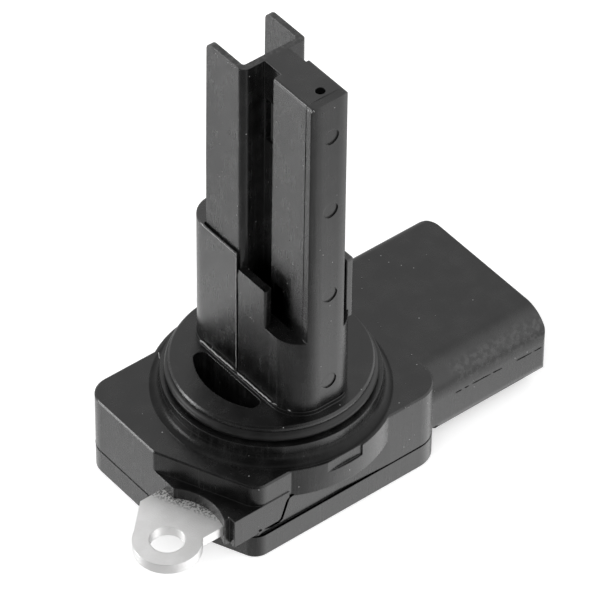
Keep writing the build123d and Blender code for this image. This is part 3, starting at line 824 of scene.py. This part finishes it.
class SENSOR_OT_seal_ring(bpy.types.Operator):
    """Model the rubber ring smooth and round in place of its plain solid"""

    bl_idname = "sensor.seal_ring"
    bl_label = "Seal ring"

    around: bpy.props.IntProperty(name="Steps around", default=160, min=16)
    across: bpy.props.IntProperty(name="Steps across", default=32, min=8)

    def execute(self, context):
        low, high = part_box("o_ring")
        section = (high.z - low.z) / 2
        middle = high.x - section
        height = (high.z + low.z) / 2
        profile = []
        for j in range(self.across):
            angle = 2 * math.pi * j / self.across
            profile.append((middle + section * math.cos(angle), height + section * math.sin(angle)))
        material = seal_rubber(context.scene.sensor_finish)
        ring = new_piece("seal_ring", turned(profile, self.around), material)
        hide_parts("o_ring")
        return {"FINISHED"}


class SENSOR_OT_metal(bpy.types.Operator):
    """Finish the plate, the terminals and the leads"""

    bl_idname = "sensor.metal"
    bl_label = "Metal"

    def execute(self, context):
        looks = context.scene.sensor_finish
        dress(["mounting_plate"], plate_metal(looks))
        tin = tin_plate(looks)
        for stem in ("terminal_", "sensing_lead_", "thermistor_lead_"):
            dress(numbered(stem), tin)
        return {"FINISHED"}


class SENSOR_OT_circuit(bpy.types.Operator):
    """Finish the circuit and both sensing elements"""

    bl_idname = "sensor.circuit"
    bl_label = "Circuit and sensing elements"

    def execute(self, context):
        looks = context.scene.sensor_finish
        dress(CIRCUIT_NODES, fired_ceramic(looks))
        dress(RESIN_NODES, chip_resin(looks))
        dress(["sensing_chip"], film_silicon(looks))
        dress(["thermistor_bead"], bead_glass(looks))
        dress(["cover_seal"], cured_sealant(looks))
        return {"FINISHED"}


def ray_kind(finish, *kinds):
    """One for rays of any of the kinds, nought for others."""
    path = {value.socket.name: value for value in finish.node("ShaderNodeLightPath")}
    found = path[kinds[0]]
    for kind in kinds[1:]:
        found = found.over(path[kind])
    return found


def floor_finish(stage):
    """Pale floor that shows white where it is lit and keeps the shadow.

    In reflections it gleams, glows close to the part and is darker farther off.
    """
    finish = new_finish("floor")
    matt = finish.node("ShaderNodeBsdfDiffuse", {}, {"Color": stage.floor})[0]
    shown = ray_kind(finish, "Is Camera Ray", "Is Glossy Ray", "Is Transmission Ray") * stage.floor_glow
    glow = finish.node("ShaderNodeEmission", {}, {"Color": grey(1.0), "Strength": shown})[0]
    plain = finish.node("ShaderNodeAddShader", {}, {0: matt, 1: glow})[0]
    distance = finish.node("ShaderNodeVectorMath", {"operation": "LENGTH"}, {0: finish.place()})[1]
    gleam = finish.node("ShaderNodeBsdfGlossy", {}, {"Color": grey(1.0), "Roughness": FLOOR_ROUGHNESS})[0]
    glossy = ray_kind(finish, "Is Glossy Ray")
    both = finish.node("ShaderNodeMixShader", {}, {0: glossy * stage.floor_gleam, 1: plain, 2: gleam})[0]
    near = finish.node("ShaderNodeEmission", {}, {"Color": grey(1.0), "Strength": GLOW_STRENGTH})[0]
    close = glossy * (1 - distance.step(*GLOW_END)) * stage.near_glow
    lit = finish.node("ShaderNodeMixShader", {}, {0: close, 1: both, 2: near})[0]
    black = finish.node("ShaderNodeBsdfDiffuse", {}, {"Color": grey(0.0)})[0]
    far = glossy * distance.step(*GLEAM_FADE) * stage.far_loss
    whole = finish.node("ShaderNodeMixShader", {}, {0: far, 1: lit, 2: black})[0]
    finish.node("ShaderNodeOutputMaterial", {}, {"Surface": whole})
    return finish.owner


def light_world(stage):
    """World that shows white and lights evenly, with a dark side behind the camera in reflections."""
    world = bpy.data.worlds.new("studio")
    bpy.context.scene.world = world
    finish = Finish(world)
    ray = finish.node("ShaderNodeTexCoord")[0]
    dark = finish.along(ray, stage.dark_side).step(*DARK_LIMITS)
    right = finish.along(ray, stage.right_side)
    sides = (right.step(*SIDE_LIMITS) * (stage.right_level - stage.back_level)
             + (0 - right).step(*SIDE_LIMITS) * (stage.left_level - stage.back_level) + stage.back_level)
    mirrored = sides * (1 - dark * (1 - stage.dark_level))
    glossy = ray_kind(finish, "Is Glossy Ray", "Is Transmission Ray")
    camera = ray_kind(finish, "Is Camera Ray")
    strength = camera + glossy * mirrored + (1 - camera.over(glossy)) * stage.world_light
    sky = finish.node("ShaderNodeBackground", {}, {"Color": grey(1.0), "Strength": strength})[0]
    finish.node("ShaderNodeOutputWorld", {}, {"Surface": sky})


def add_lamp(name, spot, aim, power, size, mirrored=True):
    """A square soft lamp that faces a point, and may stay out of reflections."""
    data = bpy.data.lights.new(name, "AREA")
    data.shape = "SQUARE"
    data.size = size
    data.energy = power
    lamp = bpy.data.objects.new(name, data)
    lamp.location = spot
    lamp.rotation_euler = (Vector(aim) - Vector(spot)).to_track_quat("-Z", "Y").to_euler()
    lamp.visible_glossy = mirrored
    bpy.context.scene.collection.objects.link(lamp)


class SENSOR_OT_stage(bpy.types.Operator):
    """Set up the floor, the light and the camera"""

    bl_idname = "sensor.stage"
    bl_label = "Stage"

    def execute(self, context):
        stage = context.scene.sensor_stage
        self.add_floor(stage)
        light_world(stage)
        middle = (cad_low + cad_high) / 2
        add_lamp("key_lamp", stage.key_place, middle, stage.key_power, stage.lamp_size, False)
        add_lamp("fill_lamp", stage.fill_place, middle, stage.fill_power, stage.lamp_size, False)
        add_lamp("rim_lamp", stage.rim_place, middle, stage.rim_power, stage.rim_size)
        self.add_camera(context, stage)
        return {"FINISHED"}

    def add_floor(self, stage):
        """A flat square under the part."""
        form = bmesh.new()
        bmesh.ops.create_grid(form, x_segments=1, y_segments=1, size=stage.floor_size / 2)
        mesh = bpy.data.meshes.new("floor")
        form.to_mesh(mesh)
        form.free()
        mesh.materials.append(floor_finish(stage))
        floor = bpy.data.objects.new("floor", mesh)
        floor.location.z = cad_low.z
        bpy.context.scene.collection.objects.link(floor)

    def add_camera(self, context, stage):
        """The camera at the photograph's angle."""
        data = bpy.data.cameras.new("camera")
        data.lens = stage.lens
        data.sensor_width = 36.0
        data.clip_start = 0.01
        data.clip_end = 20.0
        turn = (Matrix.Rotation(stage.azimuth, 4, "Z")
                @ Matrix.Rotation(math.pi / 2 - stage.elevation, 4, "X")
                @ Matrix.Rotation(stage.roll, 4, "Z"))
        camera = bpy.data.objects.new("camera", data)
        back = turn @ Vector((0.0, 0.0, stage.distance))
        camera.matrix_world = Matrix.Translation(Vector(stage.aim) + back) @ turn
        bpy.context.scene.collection.objects.link(camera)
        context.scene.camera = camera
        context.scene.view_settings.view_transform = "Standard"


OPERATORS = (SENSOR_OT_mouldings, SENSOR_OT_flange_root, SENSOR_OT_mould_lines, SENSOR_OT_flash_and_highlights,
             SENSOR_OT_seal_ring, SENSOR_OT_metal, SENSOR_OT_circuit, SENSOR_OT_stage)


class SENSOR_PT_looks(bpy.types.Panel):
    """Buttons and settings of the sensor's looks"""

    bl_label = "Airflow Sensor"
    bl_idname = "SENSOR_PT_looks"
    bl_space_type = "VIEW_3D"
    bl_region_type = "UI"
    bl_category = "Airflow Sensor"

    def draw(self, context):
        for operator in OPERATORS:
            self.layout.operator(operator.bl_idname)
        for group in (context.scene.sensor_finish, context.scene.sensor_stage):
            box = self.layout.box()
            for key in group.__annotations__:
                box.prop(group, key)


CLASSES = (FinishSettings, StageSettings, *OPERATORS, SENSOR_PT_looks)


def register():
    """Adds the classes and their settings."""
    for item in CLASSES:
        bpy.utils.register_class(item)
    bpy.types.Scene.sensor_finish = bpy.props.PointerProperty(type=FinishSettings)
    bpy.types.Scene.sensor_stage = bpy.props.PointerProperty(type=StageSettings)


def unregister():
    """Takes the settings and classes away again."""
    del bpy.types.Scene.sensor_stage
    del bpy.types.Scene.sensor_finish
    for item in reversed(CLASSES):
        bpy.utils.unregister_class(item)


def main():
    """Builds the whole look in order."""
    register()
    bpy.ops.sensor.mouldings()
    bpy.ops.sensor.flange_root()
    bpy.ops.sensor.mould_lines()
    bpy.ops.sensor.flash()
    bpy.ops.sensor.seal_ring()
    bpy.ops.sensor.metal()
    bpy.ops.sensor.circuit()
    bpy.ops.sensor.stage()


if __name__ == "__main__":
    main()
